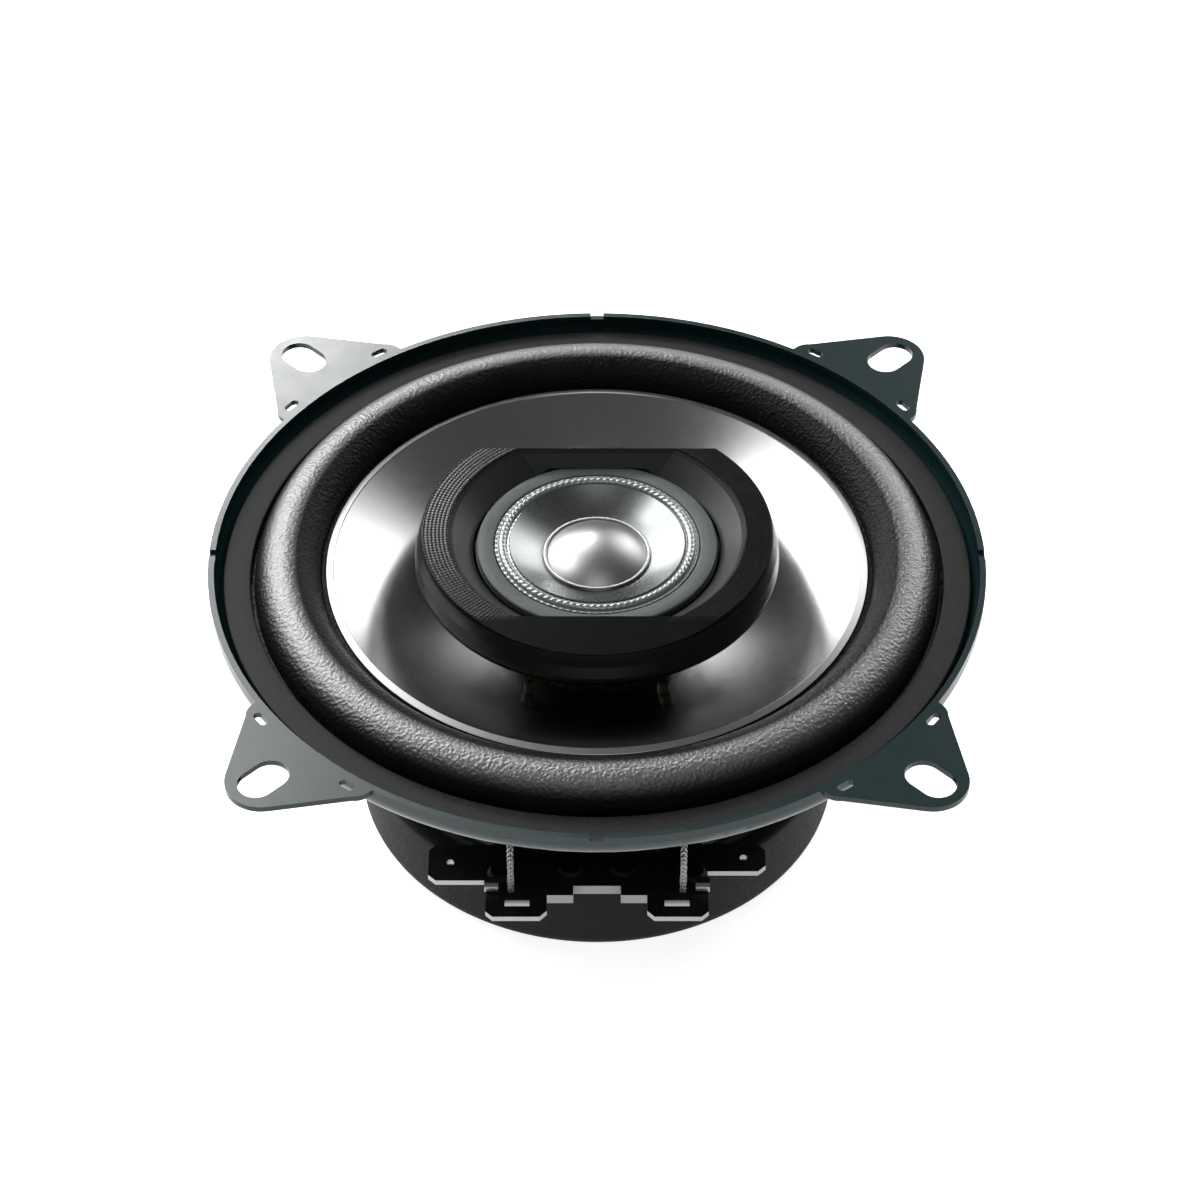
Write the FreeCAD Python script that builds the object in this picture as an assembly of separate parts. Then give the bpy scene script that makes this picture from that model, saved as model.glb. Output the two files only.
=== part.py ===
"""Coaxial car speaker, 10 cm size: stamped basket, woofer cone, and a tweeter on a post.

Millimetres. The origin is the centre of the speaker on the rear face of its four mounting
ears, and +Z points out of the sound side. Everything is drawn with the terminals towards -Y,
then turned by TERMINAL_TURN about Z, so that the ears lie on the X and Y axes.
"""
import FreeCAD, Part
import math
import os

V = FreeCAD.Vector
Z_AXIS = V(0, 0, 1)
TERMINAL_TURN = 45.0
SIDES = (1, -1)
QUARTERS = (0, 90, 180, 270)

# Basket
SHEET = 0.8                 # steel sheet of the basket
RIM_R = 51.0                # outside of the rim wall
SEAT_Z = -2.6               # top of the seat for the surround and its gasket
SEAT_INNER_R = 44.6
LEDGE_Z = -17.2             # top of the ledge that carries the spider
LEDGE_R = (31.4, 35.0)
FLOOR_Z = -24.7             # top of the basket floor
FLOOR_R = 30.8
FLOOR_HOLE_R = 14.0
LEG_HALF = 5.0
LEG_FOOT_HALF = 8.5

# Mounting ears
EAR_SLOT_R = 58.0           # radius of the slot centres, 116 across
EAR_SLOT_W = 4.8
EAR_SLOT_L = 7.0
EAR_TIP_R = 4.8
EAR_SHOULDER = (51.6, 10.4)
KNOCKOUT_R = 52.0
KNOCKOUT_ANGLE = 9.0

# Motor
PLATE_T = 3.0
PLATE_R = 29.0
MAGNET_T = 7.0
MAGNET_R = 30.0
MAGNET_HOLE_R = 13.5
YOKE_T = 2.8
GAP_OUTER_R = 11.15
POLE_R = 9.6
POLE_TOP = -24.5
PLATE_TOP = FLOOR_Z - SHEET
MAGNET_TOP = PLATE_TOP - PLATE_T
YOKE_TOP = MAGNET_TOP - MAGNET_T
YOKE_BACK = YOKE_TOP - YOKE_T
COVER_R = 32.5
COVER_TOP = -28.7
COVER_FLOOR = 1.6
COVER_BACK = YOKE_BACK - COVER_FLOOR

# Moving parts of the woofer
COIL_R = 10.0               # inside of the coil former
FORMER_T = 0.15
FORMER_OUT = COIL_R + FORMER_T
COIL_T = 0.6
COIL_H = 8.0
CONE_T = 0.4
CONE_EDGE_R = 35.6
CONE_TOP = -0.2
CONE_NECK = -13.0
ROLL_R = (36.2, 44.8)       # feet of the surround's half roll
ROLL_CREST = 2.5
GASKET_R = (45.5, 49.1)
GASKET_TOP = -1.1
FLANGE_T = 0.4
FLANGE_R = 48.0             # outer edge of the surround, inside the bend of the rim
SPIDER_T = 0.4

# Tweeter
HOUSING_R = 23.9
BEZEL_R = 23.0
BEZEL_TOP = 5.11
BEZEL_SEAM = 1.24           # where the bezel meets the pot
BOWL_R = (16.2, 19.5)
BOWL_FOOT = 2.0
CHORD_Y = 16.4              # straight edges of the bezel
CHORD_FOOT = (14.8, 2.95)
FRONT_EDGE_DROP = 0.41      # fall of the front facet, out to the bezel's edge
BACK_LEDGE = -0.4
SHELL = 1.2
TWEETER_YOKE_R = 9.2
TWEETER_YOKE_Z = (-6.6, -1.0)
TWEETER_GAP = (6.2, 7.2)
TWEETER_COIL_R = 6.5
DIAPHRAGM_T = 0.15
TWEETER_CONE_R = (7.0, 11.5)
TWEETER_CONE_Z = (0.8, 3.0)
DOME_R = 6.6
DOME_RISE = 2.4
POT_BOTTOM = -8.8
POST_R = 7.5
SCREW_R = 2.0
WIRE_R = 0.4
WIRE_Y = -5.6               # wire channel through the post and the pole
WIRE_CHANNEL_R = 1.3
WIRE_GROOVE_R = 31.9        # wire groove in the wall of the magnet cover
WIRE_HOLE_X = 2.2
WIRE_HOLE_Y = -31.3

# Terminals
BOARD_T = 1.5
BOARD_TOP = FLOOR_Z + BOARD_T
BOARD_HALF = 14.2
BOARD_FRONT = -38.4
TONGUE_HALF = 8.0
TONGUE_FRONT = -36.0
TAB_T = 0.8
BLADE_END = 21.7
RIVET_X = 3.4
RIVET_Y = -33.6
TAB_RIVET_X = 12.4
TAB_RIVET_Y = -35.2
LUG_FRONT = -42.8
LEAD_X = 11.0
LEAD_R = 0.4


# ---- drawing helpers ----

def flat(x, y):
    return V(x, y, 0)


def section(r, z):
    return V(r, 0, z)


def closed_face(steps, place):
    """A face whose corners are points; a step of two points is an arc (middle, end)."""
    edges = []
    here = steps[0]
    for step in list(steps[1:]) + [steps[0]]:
        if isinstance(step[0], tuple):
            middle, end = step
            edges.append(Part.Arc(place(*here), place(*middle), place(*end)).toShape())
        else:
            end = step
            if math.dist(here, end) > 1e-6:
                edges.append(Part.LineSegment(place(*here), place(*end)).toShape())
        here = end
    return Part.Face(Part.Wire(edges))


def turned(steps):
    """A body of revolution about Z, from corners (r, z)."""
    return closed_face(steps, section).revolve(V(0, 0, 0), Z_AXIS, 360)


def ring(inner, outer, bottom, top):
    return turned([(inner, bottom), (outer, bottom), (outer, top), (inner, top)])


def disc(radius, bottom, top, x=0.0, y=0.0):
    return Part.makeCylinder(radius, top - bottom, V(x, y, bottom))


def plate(steps, bottom, top):
    """A flat plate from an outline of corners (x, y)."""
    face = closed_face(steps, flat)
    face.translate(V(0, 0, bottom))
    return face.extrude(V(0, 0, top - bottom))


def box(low, high):
    size = [h - l for l, h in zip(low, high)]
    return Part.makeBox(*size, V(*low))


def around(shape, angle):
    copy = shape.copy()
    copy.rotate(V(0, 0, 0), Z_AXIS, angle)
    return copy


def mirrored(shape):
    return shape.mirror(V(0, 0, 0), V(1, 0, 0))


def fused(shapes):
    """One solid from pieces that touch or overlap."""
    whole = shapes[0]
    if len(shapes) > 1:
        whole = whole.multiFuse(shapes[1:])
    return whole.removeSplitter()


def unit(a, b):
    return (b - a).normalize()


def rounded_edges(points, reach):
    """Edges along the points, with a tangent arc at each corner that starts reach away from it."""
    edges = []
    here = points[0]
    for i in range(1, len(points) - 1):
        back = unit(points[i], points[i - 1])
        on = unit(points[i], points[i + 1])
        half = back.getAngle(on) / 2
        if reach[i - 1] < 1e-6 or half > math.pi / 2 - 1e-6:
            edges.append(Part.LineSegment(here, points[i]).toShape())
            here = points[i]
            continue
        middle_way = (back + on).normalize()
        start = points[i] + back * reach[i - 1]
        end = points[i] + on * reach[i - 1]
        out = reach[i - 1] / math.cos(half) - reach[i - 1] * math.tan(half)
        if (start - here).Length > 1e-6:
            edges.append(Part.LineSegment(here, start).toShape())
        edges.append(Part.Arc(start, points[i] + middle_way * out, end).toShape())
        here = end
    if (points[-1] - here).Length > 1e-6:
        edges.append(Part.LineSegment(here, points[-1]).toShape())
    return edges


def side_of_sheet(line, radii, shift):
    """One face of a bent sheet: the middle line moved sideways, as rounded edges."""
    points = []
    reach = []
    ways = [unit(a, b) for a, b in zip(line, line[1:])]
    normals = [V(-w.z, 0, w.x) for w in ways]
    points.append(line[0] + normals[0] * shift)
    for i in range(1, len(line) - 1):
        mitre = (normals[i - 1] + normals[i]).normalize()
        points.append(line[i] + mitre * (shift / mitre.dot(normals[i])))
        left_turn = ways[i - 1].x * ways[i].z - ways[i - 1].z * ways[i].x
        radius = radii[i - 1] - shift * (1 if left_turn > 0 else -1)
        reach.append(max(radius, 0) * math.tan(ways[i - 1].getAngle(ways[i]) / 2))
    points.append(line[-1] + normals[-1] * shift)
    return points, rounded_edges(points, reach)


def bent_sheet(corners, radii, thickness):
    """A revolved sheet whose middle line runs through the corners (r, z), bent at each radius."""
    line = [section(r, z) for r, z in corners]
    left, left_edges = side_of_sheet(line, radii, thickness / 2)
    right, right_edges = side_of_sheet(line, radii, -thickness / 2)
    caps = [Part.LineSegment(left[-1], right[-1]).toShape(),
            Part.LineSegment(right[0], left[0]).toShape()]
    outline = Part.Wire(Part.__sortEdges__(left_edges + right_edges + caps))
    return Part.Face(outline).revolve(V(0, 0, 0), Z_AXIS, 360)


def wire_along(points, radius):
    """A round wire along straight runs, joined by arcs as large as the runs allow."""
    route = [V(*p) for p in points]
    lengths = [(b - a).Length for a, b in zip(route, route[1:])]
    reach = [0.45 * min(a, b) for a, b in zip(lengths, lengths[1:])]
    path = Part.Wire(rounded_edges(route, reach))
    start = Part.Circle(route[0], unit(route[0], route[1]), radius).toShape()
    return path.makePipeShell([Part.Wire([start])], True, False)


# ---- basket ----

def ear():
    """One mounting ear, pointing along +X, with its slot and two small knock-out slots."""
    x, y = EAR_SHOULDER
    away = math.dist(EAR_SHOULDER, (EAR_SLOT_R, 0))
    slope = math.atan2(-y, EAR_SLOT_R - x) + math.asin(EAR_TIP_R / away)
    run = math.sqrt(away ** 2 - EAR_TIP_R ** 2)
    tip = (x + run * math.cos(slope), y + run * math.sin(slope))
    root = (RIM_R - 2 * SHEET, y + 0.5)
    outline = [
        root, (x - 0.9, y + 0.4), ((x, y + 0.1), (x + 0.7, y - 0.5)), tip,
        ((EAR_SLOT_R + EAR_TIP_R, 0), (tip[0], -tip[1])),
        (x + 0.7, 0.5 - y), ((x, -y - 0.1), (x - 0.9, -y - 0.4)), (root[0], -root[1]),
    ]
    body = plate(outline, 0, SHEET)
    cut = [obround(EAR_SLOT_L, EAR_SLOT_W, EAR_SLOT_R)]
    for side in SIDES:
        knockout = around(obround(1.1, 2.4, KNOCKOUT_R), side * KNOCKOUT_ANGLE)
        cut.append(knockout)
    return body.cut(cut)


def obround(length_x, length_y, x):
    """A slot cutter at (x, 0), through the thickness of an ear."""
    low, high = -1, SHEET + 1
    radius = min(length_x, length_y) / 2
    half_x = length_x / 2 - radius
    half_y = length_y / 2 - radius
    ends = [disc(radius, low, high, x + s * half_x, s * half_y) for s in SIDES]
    reach_x = max(half_x, radius if half_y else 0)
    reach_y = max(half_y, radius if half_x else 0)
    middle = box((x - reach_x, -reach_y, low), (x + reach_x, reach_y, high))
    return fused([middle] + ends)


def legs():
    """Bars that leave the four legs when the windows are cut; flared at the top and the foot."""
    top = SEAT_Z
    foot = LEDGE_Z - 1.0
    outline = [
        (-LEG_FOOT_HALF, foot), ((-LEG_HALF - 1.0, foot + 1.6), (-LEG_HALF, foot + 4.0)),
        (-LEG_HALF, top - 4.0), ((-LEG_HALF - 1.0, top - 1.6), (-LEG_FOOT_HALF, top)),
        (LEG_FOOT_HALF, top), ((LEG_HALF + 1.0, top - 1.6), (LEG_HALF, top - 4.0)),
        (LEG_HALF, foot + 4.0), ((LEG_HALF + 1.0, foot + 1.6), (LEG_FOOT_HALF, foot)),
    ]
    bar = closed_face(outline, section)
    bar.translate(V(0, -60, 0))
    bar = bar.extrude(V(0, 120, 0))
    return fused([bar, around(bar, 90)])


def basket():
    wall_r = RIM_R - SHEET / 2
    seat = SEAT_Z - SHEET / 2
    ledge = LEDGE_Z - SHEET / 2
    floor = FLOOR_Z - SHEET / 2
    corners = [(wall_r, SHEET), (wall_r, seat), (SEAT_INNER_R, seat), (LEDGE_R[1], ledge),
               (LEDGE_R[0], ledge), (FLOOR_R, floor), (FLOOR_HOLE_R, floor)]
    shell = bent_sheet(corners, [2.5, 1.0, 1.0, 0.9, 1.2], SHEET)
    windows = ring(LEDGE_R[1] - 0.2, RIM_R + 5, LEDGE_Z + 0.6, SEAT_Z - SHEET - 0.9)
    shell = shell.cut(windows.cut(legs()))
    mouth = box((-BOARD_HALF, -LEDGE_R[1], FLOOR_Z), (BOARD_HALF, 0, LEDGE_Z - 2.2))
    shell = shell.cut(mouth.cut(disc(FLOOR_R - 2.0, FLOOR_Z, LEDGE_Z)))
    tongue = box((-TONGUE_HALF, TONGUE_FRONT, FLOOR_Z - SHEET), (TONGUE_HALF, 2 - FLOOR_R, FLOOR_Z))
    ears = [around(ear(), 45 + q) for q in QUARTERS]
    rim_inside = disc(RIM_R - SHEET, -1, SHEET + 1)
    body = fused([shell, tongue] + [e.cut(rim_inside) for e in ears])
    notch = box((-0.9, -RIM_R - 1, SHEET - 0.5), (0.9, SHEET - RIM_R + 1, SHEET + 1))
    rivets = [disc(1.5, FLOOR_Z - 2, FLOOR_Z + 1, *spot) for spot in rivet_spots()]
    eyes = [disc(1.1, FLOOR_Z - 2, FLOOR_Z + 1, s * RIVET_X, RIVET_Y) for s in SIDES]
    return body.cut([around(notch, q) for q in QUARTERS] + rivets + eyes + wire_holes())


def wire_holes():
    """Cutters for the two holes that bring the tweeter wires up through the tongue and the board."""
    return [disc(WIRE_R + 0.1, FLOOR_Z - 2, BOARD_TOP + 1, s * WIRE_HOLE_X, WIRE_HOLE_Y) for s in SIDES]


def rivet_spots():
    radius = 22.0
    return [(radius * math.cos(math.radians(45 + q)), radius * math.sin(math.radians(45 + q)))
            for q in QUARTERS]


def basket_rivets():
    """Four rivets through the basket floor and the top plate, flush beneath."""
    rivets = []
    for x, y in rivet_spots():
        shank = disc(1.5, MAGNET_TOP, FLOOR_Z, x, y)
        head = Part.makeCone(2.7, 2.1, 0.7, V(x, y, FLOOR_Z))
        rivets.append(fused([shank, head]))
    return rivets


# ---- motor ----

def top_plate():
    body = turned([(GAP_OUTER_R, MAGNET_TOP), (PLATE_R - 0.4, MAGNET_TOP), (PLATE_R, MAGNET_TOP + 0.4),
                   (PLATE_R, PLATE_TOP - 0.4), (PLATE_R - 0.4, PLATE_TOP), (GAP_OUTER_R, PLATE_TOP)])
    return body.cut([disc(1.5, MAGNET_TOP - 1, PLATE_TOP + 1, *spot) for spot in rivet_spots()])


def magnet():
    return turned([(MAGNET_HOLE_R, YOKE_TOP), (MAGNET_R - 0.6, YOKE_TOP), (MAGNET_R, YOKE_TOP + 0.6),
                   (MAGNET_R, MAGNET_TOP - 0.6), (MAGNET_R - 0.6, MAGNET_TOP), (MAGNET_HOLE_R, MAGNET_TOP)])


def yoke():
    """Back plate and pole in one piece, bored for the post screw and the tweeter wires."""
    body = turned([(0, YOKE_BACK), (PLATE_R - 0.5, YOKE_BACK), (PLATE_R, YOKE_BACK + 0.5),
                   (PLATE_R, YOKE_TOP), (POLE_R, YOKE_TOP), (POLE_R, POLE_TOP - 0.5),
                   (POLE_R - 0.5, POLE_TOP), (0, POLE_TOP)])
    bore = disc(SCREW_R + 0.1, YOKE_BACK - 1, POLE_TOP + 1)
    recess = disc(4.0, YOKE_BACK - 1, YOKE_BACK + 2.7)
    channel = disc(WIRE_CHANNEL_R, YOKE_BACK - 1, POLE_TOP + 1, 0, WIRE_Y)
    return body.cut([bore, recess, channel])


def magnet_cover():
    """Rubber cup over the magnet, with a groove inside for the tweeter wires."""
    inner = MAGNET_R + 0.05
    body = turned([(0, COVER_BACK), (COVER_R - 1.5, COVER_BACK),
                   ((COVER_R - 0.44, COVER_BACK + 0.44), (COVER_R, COVER_BACK + 1.5)),
                   (COVER_R, COVER_TOP - 0.6), ((COVER_R - 0.18, COVER_TOP - 0.18), (COVER_R - 0.6, COVER_TOP)),
                   (inner + 0.4, COVER_TOP), (inner, COVER_TOP - 0.4), (inner, YOKE_BACK), (0, YOKE_BACK)])
    along = box((-1.0, -WIRE_GROOVE_R, YOKE_BACK - 1.1), (1.0, WIRE_Y + 1.0, YOKE_BACK))
    up = box((-1.0, -WIRE_GROOVE_R, YOKE_BACK - 1.1), (1.0, 1 - inner, COVER_TOP + 1))
    return body.cut([along, up])


# ---- woofer ----

def front_gasket():
    low, high = SEAT_Z + FLANGE_T, GASKET_TOP
    inner, outer = GASKET_R
    return turned([(inner, low), (outer, low), (outer, high - 0.3), (outer - 0.3, high),
                   (inner + 0.3, high), (inner, high - 0.3)])


def surround():
    """Rubber half roll between the seat and the edge of the cone."""
    foot_in, foot_out = ROLL_R
    half = (foot_out - foot_in) / 2
    outer_z = SEAT_Z + FLANGE_T / 2
    inner_z = CONE_TOP - CONE_T - FLANGE_T / 2
    crest = ROLL_CREST - FLANGE_T / 2
    corners = [(FLANGE_R, outer_z), (foot_out, outer_z), (foot_out, crest), (foot_in, crest),
               (foot_in, inner_z), (CONE_EDGE_R - 1.6, inner_z)]
    return bent_sheet(corners, [0.4, half, half, 0.4], FLANGE_T)


def woofer_cone():
    """Cone with a flat edge on the surround and a collar on the coil former."""
    edge_in = CONE_EDGE_R - 1.8
    low = CONE_TOP - CONE_T
    body = turned([
        (CONE_EDGE_R, CONE_TOP), (edge_in, CONE_TOP),
        ((22.0, -5.0), (FORMER_OUT + 0.6, CONE_NECK)), (FORMER_OUT, CONE_NECK - 0.5),
        (FORMER_OUT, CONE_NECK - 2.2), (FORMER_OUT + 0.4, CONE_NECK - 2.2),
        (FORMER_OUT + 0.4, CONE_NECK - 0.85), (FORMER_OUT + 0.95, CONE_NECK - 0.3),
        ((22.15, -5.42), (edge_in + 0.1, low)), (CONE_EDGE_R, low)])
    return body.cut([eyelet(side, 0.8) for side in SIDES])


def eyelet_spot(side):
    return side * 8.6, -16.0, -8.3


def eyelet(side, radius, length=3.0):
    x, y, z = eyelet_spot(side)
    return disc(radius, z - length / 2, z + length / 2, x, y)


def lead_eyelets():
    """Two brass eyelets that carry the leads through the cone."""
    eyelets = []
    for side in SIDES:
        x, y, z = eyelet_spot(side)
        tube = eyelet(side, 0.8, 3.0)
        eyelets.append(tube.cut(disc(LEAD_R, z - 2, z + 2, x, y)))
    return eyelets


def voice_coil_former():
    top = CONE_NECK + 0.6
    return ring(COIL_R, FORMER_OUT, coil_middle() - COIL_H / 2 - 0.5, top)


def coil_middle():
    return PLATE_TOP - PLATE_T / 2


def voice_coil():
    middle = coil_middle()
    return ring(FORMER_OUT, FORMER_OUT + COIL_T, middle - COIL_H / 2, middle + COIL_H / 2)


def spider():
    """Corrugated disc between the ledge and the coil former."""
    level = LEDGE_Z + SPIDER_T / 2
    waves = 5
    outer, inner = LEDGE_R[0] - 0.2, 12.4
    pitch = (outer - inner) / (2 * waves)
    corners = [(LEDGE_R[1] - 0.9, level), (outer, level)]
    for i in range(2 * waves - 1):
        height = 0.9 if i % 2 == 0 else -0.9
        corners.append((outer - pitch * (i + 0.75), level + height))
    neck = FORMER_OUT + SPIDER_T / 2
    corners += [(inner - 0.2, level), (neck, level), (neck, level + 1.7)]
    radii = [0.8] + [0.9] * (2 * waves - 1) + [0.8, 0.3]
    return bent_sheet(corners, radii, SPIDER_T)


# ---- tweeter ----

def behind_back_facet(inset):
    """The space cut away behind the sloping back of the tweeter housing."""
    slide = inset * math.sqrt(2)
    foot_y = CHORD_Y + BEZEL_TOP - BACK_LEDGE
    outline = [(foot_y - slide, BACK_LEDGE - inset), (60, BACK_LEDGE - inset), (60, 30),
               (CHORD_Y + BEZEL_TOP - 30 - slide, 30)]
    face = closed_face(outline, lambda y, z: V(-60, y, z))
    return face.extrude(V(120, 0, 0))


def tweeter_bezel():
    """Top of the housing: a round bowl cut off by two straight edges, with a plain front facet."""
    body = turned([(0, BEZEL_SEAM), (HOUSING_R, BEZEL_SEAM), (HOUSING_R - 0.3, BEZEL_SEAM + 1.6),
                   (BEZEL_R, BEZEL_TOP - 0.2), (BEZEL_R - 0.2, BEZEL_TOP), (0, BEZEL_TOP)])
    bowl = turned([(0, BOWL_FOOT), (BOWL_R[0], BOWL_FOOT), (BOWL_R[1], BEZEL_TOP),
                   (BOWL_R[1] + 3.2, BEZEL_TOP + 3), (0, BEZEL_TOP + 3)])
    foot_y, foot_z = CHORD_FOOT
    lean = (CHORD_Y - foot_y) / (BEZEL_TOP - foot_z)
    low_y = foot_y - lean * (foot_z - BOWL_FOOT)
    high_y = CHORD_Y + lean * 3
    slot = closed_face([(-low_y, BOWL_FOOT), (low_y, BOWL_FOOT), (high_y, BEZEL_TOP + 3),
                        (-high_y, BEZEL_TOP + 3)], lambda y, z: V(-60, y, z))
    bowl = bowl.common(slot.extrude(V(120, 0, 0)))
    well = disc(BOWL_R[0], BEZEL_SEAM - 1, foot_z)
    facet_run = BEZEL_R - CHORD_Y
    facet = closed_face([(-CHORD_Y, BEZEL_TOP), (-CHORD_Y - 2 * facet_run, BEZEL_TOP - 2 * FRONT_EDGE_DROP),
                         (-CHORD_Y - 2 * facet_run, BEZEL_TOP + 3), (-CHORD_Y, BEZEL_TOP + 3)],
                        lambda y, z: V(-60, y, z))
    hollow = turned([(17.6, BEZEL_SEAM - 1), (22.6, BEZEL_SEAM - 1), (22.4, BEZEL_SEAM + 1.5),
                     (21.9, BEZEL_TOP - SHELL), (19.9, BEZEL_TOP - SHELL), (17.6, BOWL_FOOT - 0.2)])
    hollow = hollow.cut(behind_back_facet(SHELL))
    return body.cut([bowl, well, facet.extrude(V(120, 0, 0)), behind_back_facet(0), hollow])


def tweeter_housing():
    """Pot that holds the tweeter on its post."""
    body = turned([(0, POT_BOTTOM), (9.9, POT_BOTTOM), (10.2, -8.2), (15.0, -4.6), (22.6, -1.0),
                   ((23.4, -0.4), (HOUSING_R, BEZEL_SEAM)), (0, BEZEL_SEAM)])
    socket = TWEETER_YOKE_R + 0.05
    hollow = turned([(0, TWEETER_YOKE_Z[0]), (socket, TWEETER_YOKE_Z[0]), (socket, -5.0), (14.6, -3.2),
                     (22.0, 0.2), (22.6, BEZEL_SEAM), (0, BEZEL_SEAM)])
    hollow = hollow.cut(behind_back_facet(SHELL))
    bore = disc(SCREW_R, POT_BOTTOM - 1, TWEETER_YOKE_Z[0] + 1)
    channel = disc(WIRE_CHANNEL_R, POT_BOTTOM - 1, TWEETER_YOKE_Z[0] + 1, 0, WIRE_Y)
    groove = box((-1.1, -11.3, TWEETER_YOKE_Z[0] - 1.1), (1.1, WIRE_Y, -4.0))
    return body.cut([hollow, behind_back_facet(0), bore, channel, groove])


def tweeter_frame():
    """Ring that carries the diaphragm on the tweeter's yoke."""
    seat = TWEETER_YOKE_Z[1]
    body = turned([(7.6, seat), (9.4, seat), (12.6, 0.9), (15.9, 1.3), (15.9, 2.1), (13.4, 2.1),
                   (13.4, 2.5), (12.9, 2.5), (12.2, 1.7), (9.2, seat + 0.5), (7.6, seat + 0.5)])
    return body.cut(box((-1.2, -12.5, -1.5), (1.2, -10.0, 2.0)))


def tweeter_gasket():
    """Soft ring round the diaphragm."""
    return turned([(13.5, 2.1), (15.8, 2.1), ((15.5, 2.65), (14.9, 2.85)), (13.9, 2.9),
                   ((13.6, 2.8), (13.5, 2.6))])


def tweeter_surround():
    """Thin ring that lets the tweeter's diaphragm move."""
    level = TWEETER_CONE_Z[1] - 0.3
    corners = [(13.4, level), (12.9, level), (12.8, level + 0.45), (12.1, level + 0.45), (12.0, level),
               (11.3, level)]
    return bent_sheet(corners, [0.1, 0.2, 0.2, 0.1], 0.2)


def tweeter_cone():
    inner, outer = TWEETER_CONE_R
    low, high = TWEETER_CONE_Z
    t = DIAPHRAGM_T
    middle = (inner + outer) / 2
    sag = (low + high) / 2 - 0.25
    rim = TWEETER_COIL_R + 0.1
    return turned([(outer, high), ((middle, sag), (inner, low)), (inner - 0.1, low + 0.12), (rim, low + 0.12),
                   (rim, low - t), (inner, low - t), ((middle, sag - t), (outer - 0.3, high - 0.2)),
                   (outer, high - 0.2)])


def tweeter_dome():
    t = DIAPHRAGM_T
    base = TWEETER_CONE_Z[0] + 0.12
    radius = (DOME_R ** 2 + DOME_RISE ** 2) / (2 * DOME_RISE)
    return cap(radius, DOME_RISE, base).cut(cap(radius - t, DOME_RISE - t, base))


def cap(radius, rise, base):
    """A spherical cap that stands on z = base."""
    ball = Part.makeSphere(radius, V(0, 0, base + rise - radius))
    return ball.common(disc(radius + 1, base, base + rise + 1))


def tweeter_coil_former():
    return ring(TWEETER_COIL_R, TWEETER_COIL_R + 0.1, -3.1, TWEETER_CONE_Z[0] + 0.12)


def tweeter_voice_coil():
    return ring(TWEETER_COIL_R + 0.1, TWEETER_COIL_R + 0.4, -2.9, -0.7)


def tweeter_yoke():
    low, high = TWEETER_YOKE_Z
    return turned([(0, low), (TWEETER_YOKE_R - 0.4, low), (TWEETER_YOKE_R, low + 0.4),
                   (TWEETER_YOKE_R, high), (TWEETER_GAP[1], high), (TWEETER_GAP[1], low + 1.3), (0, low + 1.3)])


def tweeter_magnet():
    return disc(TWEETER_GAP[0] - 0.4, TWEETER_YOKE_Z[0] + 1.3, TWEETER_YOKE_Z[1] - 1.5)


def tweeter_pole_plate():
    high = TWEETER_YOKE_Z[1]
    return turned([(0, high - 1.5), (TWEETER_GAP[0], high - 1.5), (TWEETER_GAP[0], high - 0.2),
                   (TWEETER_GAP[0] - 0.2, high), (0, high)])


def tweeter_post():
    """Column between the pole and the pot, threaded for the post screw."""
    body = turned([(0, POLE_TOP), (POST_R, POLE_TOP), (POST_R, POLE_TOP + 2), (POST_R - 0.3, POLE_TOP + 3),
                   (POST_R - 0.3, POT_BOTTOM - 2), (POST_R, POT_BOTTOM - 1.4), (POST_R, POT_BOTTOM), (0, POT_BOTTOM)])
    bore = disc(SCREW_R, POLE_TOP - 1, POT_BOTTOM + 1)
    channel = disc(WIRE_CHANNEL_R, POLE_TOP - 1, POT_BOTTOM + 1, 0, WIRE_Y)
    return body.cut([bore, channel])


def post_screw():
    """Screw from the back of the yoke, up into the pot, with a cross recess in its head."""
    seat = YOKE_BACK + 2.1
    shank = disc(SCREW_R, seat, TWEETER_YOKE_Z[0] - 0.2)
    head = turned([(0, seat - 1.8), (2.9, seat - 1.8), ((3.4, seat - 1.5), (3.5, seat - 1.0)), (3.5, seat), (0, seat)])
    cross = [box((-2.0, -0.35, seat - 2), (2.0, 0.35, seat - 0.9)), box((-0.35, -2.0, seat - 2), (0.35, 2.0, seat - 0.9))]
    return fused([shank, head]).cut(cross)


def post_washer():
    return ring(SCREW_R + 0.1, 3.8, YOKE_BACK + 2.1, YOKE_BACK + 2.7)


def tweeter_leads():
    """Two insulated wires, from the tweeter down the post and pole, then up to the board."""
    groove = YOKE_BACK - 0.6
    wall = 0.9 - WIRE_GROOVE_R
    wires = []
    for s in SIDES:
        x = s * (WIRE_R + 0.08)
        hole = s * WIRE_HOLE_X
        points = [(x, -11.1, 0.6), (x, -10.4, -3.4), (x, -9.9, TWEETER_YOKE_Z[0] - 0.55),
                  (x, WIRE_Y, TWEETER_YOKE_Z[0] - 0.55), (x, WIRE_Y, -20.0),
                  (x, WIRE_Y, groove + 1.3), (x, WIRE_Y, groove), (x, WIRE_Y - 1.3, groove),
                  (x, wall + 1.3, groove), (x, wall, groove), (x, wall, groove + 1.3),
                  (x, wall, COVER_TOP + 0.6), (hole, WIRE_HOLE_Y, COVER_TOP + 2.2),
                  (hole, WIRE_HOLE_Y, BOARD_TOP + 0.3)]
        wires.append(wire_along(points, WIRE_R))
    return wires


# ---- terminals ----

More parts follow.
